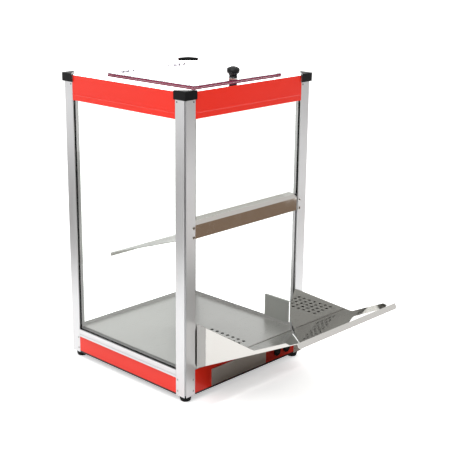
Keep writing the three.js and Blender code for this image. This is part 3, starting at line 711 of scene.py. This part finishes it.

# %% [markdown]
# ** Lid edge ring.** The edge, coloured with painted light, is a thin closed ring that stands a hair
# outside the plate. It is the same stack of outlines, closed on itself, and each band of faces between
# two outlines takes one of the three painted-light finishes.

# %% Lid edge ring
SKIN = 0.12 * MM
RIM = 5 * MM
SPLIT_DEPTH = 1.3 * MM
CROWN_DEPTH, CROWN_INSET = 0.3 * MM, 0.2 * MM
ring_levels = [
    (lid_low.z, EASE - SKIN), (lid_low.z + EASE, -SKIN), (lid_high.z - SPLIT_DEPTH, -SKIN),
    (lid_high.z - CROWN_DEPTH, -SKIN), (lid_high.z + SKIN, CROWN_INSET), (lid_high.z + SKIN, RIM),
    (lid_high.z - 2 * SKIN, RIM), (lid_low.z + 2 * SKIN, RIM), (lid_low.z, RIM)]
VIOLET, PALE, ROSE = 0, 1, 2
BAND_FINISH = {0: PALE, 1: ROSE, 2: ROSE, 7: PALE, 8: PALE}  # every other band is violet
ring_points, ring_faces, count = bands(ring_levels, closed=True)
# each band of this ring shows the painted light of the lid's edges
lid_edge = place("lid_edge_painted_light", [(ring_points, ring_faces, Matrix.Identity(4))],
                 edge_violet, "lid", 20)
lid_edge.data.materials.append(edge_pale)
lid_edge.data.materials.append(edge_rose)
for index, face in enumerate(lid_edge.data.polygons):
    face.material_index = BAND_FINISH.get(index // count, VIOLET)
print("edge ring bands:", len(ring_levels))

# %% [markdown]
# The feet are moulded rubber bumpers, wider at the top, with a rounded wearing edge and one moulding
# ring. Each is held by a screw through its middle, whose hole shows underneath. A cylinder would show a
# hard edge on the counter, so they are spun from an outline like the knob.

# %% Feet
for corner in CORNERS:
    name = "foot_" + corner
    height = (high(name).z - low(name).z) / MM
    foot_profile = ([(0, 3.0), (3.4, 3.0), (3.4, 0.0), (9.4, 0.0)] + arc((9.4, 2.4), 2.4, -90, -8, 5)
                    + [(13.7, height - 3.4), (13.2, height - 3.0), (14.2, height - 2.4),
                       (14.5, height - 0.6), (13.8, height), (0, height)])
    at = Vector((middle(name).x, middle(name).y, low(name).z))
    foot = place("bumper_" + name, [(*spin(foot_profile, 36), Matrix.Translation(at))], black_rubber,
                 "cabinet")
    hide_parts(name)
print("4 feet")

# %% [markdown]
# **Screws.** They show that the case is bolted together. A pan-head screw has a low dome and a cross
# recess. A boolean cut would make the recess too, but costs many faces on something this small, so the
# dome's points that lie near two crossed lines are lowered instead.

# %% Screw heads
SKIRT_SHARE = 0.15  # share of a head's rise that is its upright edge
ARM_WIDTH, ARM_REACH = 0.13, 0.55  # half width and length of a recess arm, as shares of the radius
RECESS_TAPER = 0.6  # how much shallower the recess is at the end of an arm


def screw_head(radius, rise, recess, around=40):
    dome = [(radius * math.cos(t), rise * (SKIRT_SHARE + (1 - SKIRT_SHARE) * math.sin(t)))
            for t in (math.radians(9 * step) for step in range(10))]
    points, faces = spin([(0, 0), (radius, 0)] + dome + [(0, rise)], around)
    arm, reach = ARM_WIDTH * radius * MM, ARM_REACH * radius * MM
    sunk = []
    for x, y, z in points:
        across, along = sorted((abs(x), abs(y)))
        inside = across < arm and along < reach and z > 0.5 * rise * MM
        drop = recess * MM * (1 - RECESS_TAPER * along / reach) if inside else 0
        sunk.append((x, y, z - drop))
    return sunk, faces


def screws(name, spots, direction, radius, rise, material, body):
    shapes = [(*screw_head(radius, rise, 0.5 * rise + 0.4), facing(direction, spot)) for spot in spots]
    made = place(name, shapes, material, body, 30)
    return made


bright_steel = polished_steel("bright_zinc_plated_steel", 0xDAD8D4, 0.12, 0.0)
# black for the small cap screws; on the bar screws the same black is a painted dark reflection
black_screw = moulded("black_oxide_steel_and_painted_dark_reflection", 0x2A2523, 0.3, 0.8, 0.05)
dull_screw = moulded("grey_zinc_plate", 0x8F8D8B, 0.35, 0.8, 0.05)
aged_screw = moulded("aged_grey_zinc_plate", 0x4E4C4A, 0.35, 0.8, 0.05)
print("screw finishes ready")

# %% [markdown]
# ** Bar screws.** Two screws hold each end of the middle bar, through the front of the post. Their heads
# are black, a painted dark reflection standing in for the dark half that a mirror-bright dome shows, and
# each sits on a bright washer, so they read as a dark dot in a light ring.

# %% Bar screws
SIDE_SIGN = {"left": -1, "right": 1}
POST_HALF = (high("post_front_left").x - low("post_front_left").x) / 2
SCREW_INSET = POST_HALF - 5 * MM  # from a post's middle towards the glass
BAR_SCREW_RISES = (5 * MM, 26 * MM)  # above the bar's lower edge
bar_low = low("middle_bar").z
for side in ("left", "right"):
    inner = middle("post_front_" + side).x - SIDE_SIGN[side] * SCREW_INSET
    spots = [(inner, FRONT_Y, bar_low + rise) for rise in BAR_SCREW_RISES]
    # the black of these heads is a painted dark reflection
    screws("bar_screws_" + side, spots, (0, -1, 0), 2.2, 2.2, black_screw, "cabinet")
    washer = spin([(0, 0), (3.8, 0), (3.8, 0.6), (3.4, 0.9), (0, 0.9)], 32)
    washers = place("bar_washers_" + side, [(*washer, facing((0, -1, 0), spot)) for spot in spots],
                    bright_steel, "cabinet")
print("bar screws:", 2 * len(BAR_SCREW_RISES))

# %% [markdown]
# **Post screws.** Each post takes three screws on each of its two outer faces: two in the base, into the
# skirt and the pan, and a small black one under the cap. The posts are alike, so one loop goes round
# the corners, and the signs of the corner turn each screw outward.

# %% Post screws
END_SIGN = {"front": -1, "rear": 1}
HEAD_RISE_ON_POST = 0.9
# name, height above the counter and head radius in mm, finish
POST_SCREWS = (("base", 25, 2.3, dull_screw), ("skirt", 52, 2.3, dull_screw),
               ("cap", 674, 1.7, black_screw))
for corner in CORNERS:
    centre = middle("post_" + corner)
    end, side = corner.split("_")
    sideways, endways = SIDE_SIGN[side], END_SIGN[end]
    for label, height, radius, material in POST_SCREWS:
        on_side = (centre.x + sideways * POST_HALF, centre.y - endways * SCREW_INSET, height * MM)
        on_end = (centre.x - sideways * SCREW_INSET, centre.y + endways * POST_HALF, height * MM)
        screws(f"{label}_screw_x_{corner}", [on_side], (sideways, 0, 0), radius, HEAD_RISE_ON_POST,
               material, "cabinet")
        screws(f"{label}_screw_y_{corner}", [on_end], (0, endways, 0), radius, HEAD_RISE_ON_POST,
               material, "cabinet")
print("post screws:", 2 * len(POST_SCREWS) * len(CORNERS))

# %% [markdown]
# **Hinge screws.** Each clear lid hinge is held by three small screws through its fixed leaf into the
# roof, and by three through its moving leaf into the lid. The hinge is hard to see, so their low heads
# read as a row of dark grey dots. Those in the moving leaf ride on the lid.

# %% Hinge screws
SCREW_PITCH = 16 * MM
LEAF_MARGIN = 7 * MM  # from a leaf's outer edge to its screws
LEAF_TOP = 1.6 * MM  # above the sheet that the leaf lies on
for side in ("left", "right"):
    fixed, moving = f"lid_hinge_{side}_fixed_leaf", f"lid_hinge_{side}_moving_leaf"
    along = [middle(fixed).x + step * SCREW_PITCH for step in (-1, 0, 1)]
    roof_top, lid_top = high("roof_panel").z + LEAF_TOP, high("lid_panel").z + LEAF_TOP
    fixed_spots = [(x, high(fixed).y - LEAF_MARGIN, roof_top) for x in along]
    moving_spots = [(x, low(moving).y + LEAF_MARGIN, lid_top) for x in along]
    for name, spots, body in (("roof_screws_" + side, fixed_spots, "cabinet"),
                              ("lid_screws_" + side, moving_spots, "lid")):
        screws(name, spots, (0, 0, 1), 2.3, 1.1, aged_screw, body)
print("hinge screws: 12")

# %% [markdown]
# **Soft edges.** No real edge is perfectly sharp: sheet is deburred and extrusions have small radii. Each
# rounded edge catches a thin line of light. A bevel modifier rounds the frame's own edges without
# changing its mesh, and is wider on moulded plastic.

# %% Soft edges on the frame
def round_edges(name, width, segments=2, angle=40):
    bevel = FRAME_NODES[name].modifiers.new("soft_edges", "BEVEL")
    bevel.width = width * MM
    bevel.segments = segments
    bevel.limit_method = "ANGLE"
    bevel.angle_limit = math.radians(angle)


CAP_EDGE, METAL_EDGE = 1.0, 0.5  # mm
for corner in CORNERS:
    round_edges("post_cap_" + corner, CAP_EDGE, 3)
    round_edges("post_" + corner, METAL_EDGE)
for name in ("middle_bar", "crumb_drawer", "cable_cover"):
    round_edges(name, METAL_EDGE)
for side in ("left", "right", "rear", "front"):
    round_edges("skirt_" + side, METAL_EDGE)
print("nodes with soft edges:", sum(bool(made.modifiers) for made in FRAME_NODES.values()))
